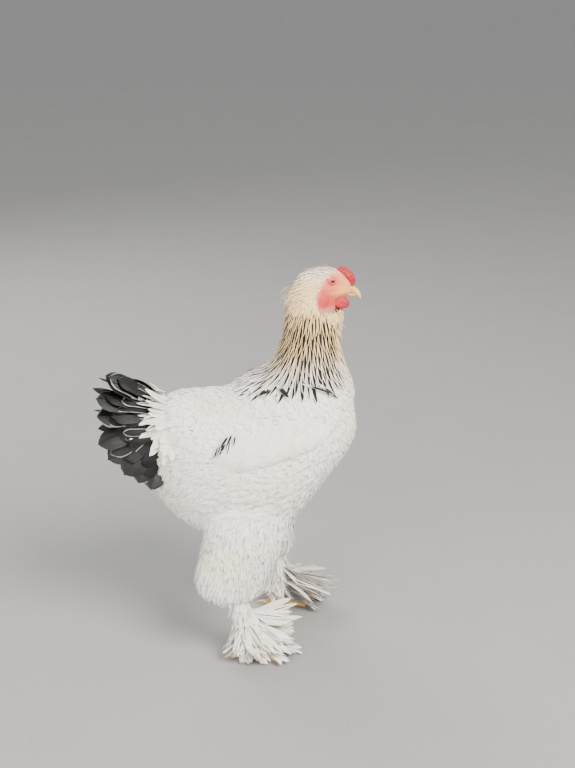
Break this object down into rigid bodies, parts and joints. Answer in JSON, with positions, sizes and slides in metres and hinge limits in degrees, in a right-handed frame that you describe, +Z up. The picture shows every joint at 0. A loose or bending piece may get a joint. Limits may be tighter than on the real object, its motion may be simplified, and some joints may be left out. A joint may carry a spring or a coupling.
{
  "type": "brahma chicken",
  "caption": "Standing Light Brahma hen with pea comb, striped neck hackle, rounded black tail and heavily feathered legs and feet.",
  "frame": {"origin": "on the floor, under the middle of the whole bird's box", "axes": "+Z up, +X the way the hen faces, +Y to the hen's left"},
  "size_m": [0.4326, 0.285, 0.6259],
  "materials": {
    "white_feather": "soft matte white feather with a faint cream cast",
    "striped_hackle": "cream feather with a black stripe down each hackle feather",
    "black_feather": "black feather with a slight green gloss and thin white lacing",
    "face_skin": "bare pink skin with short pale bristle feathers",
    "red_skin": "fine-grained red skin, slightly waxy",
    "horn": "satin yellow horn",
    "eye": "wet, reddish bay iris with a black pupil"
  },
  "bodies": {
    "root": {"torso": "white_feather", "neck": "striped_hackle", "head": "face_skin", "bill_upper": "horn", "bill_lower": "horn", "comb": "red_skin", "wattle_left": "red_skin", "wattle_right": "red_skin", "earlobe_left": "red_skin", "earlobe_right": "red_skin", "eye_left": "eye", "eye_right": "eye", "wing_left": "white_feather", "wing_right": "white_feather", "tail": "black_feather", "thigh_left": "white_feather", "thigh_right": "white_feather", "foot_left": "white_feather", "foot_right": "white_feather", "claw_inner_left": "horn", "claw_middle_left": "horn", "claw_outer_left": "horn", "claw_hind_left": "horn", "claw_inner_right": "horn", "claw_middle_right": "horn", "claw_outer_right": "horn", "claw_hind_right": "horn"}
  },
  "joints": []
}
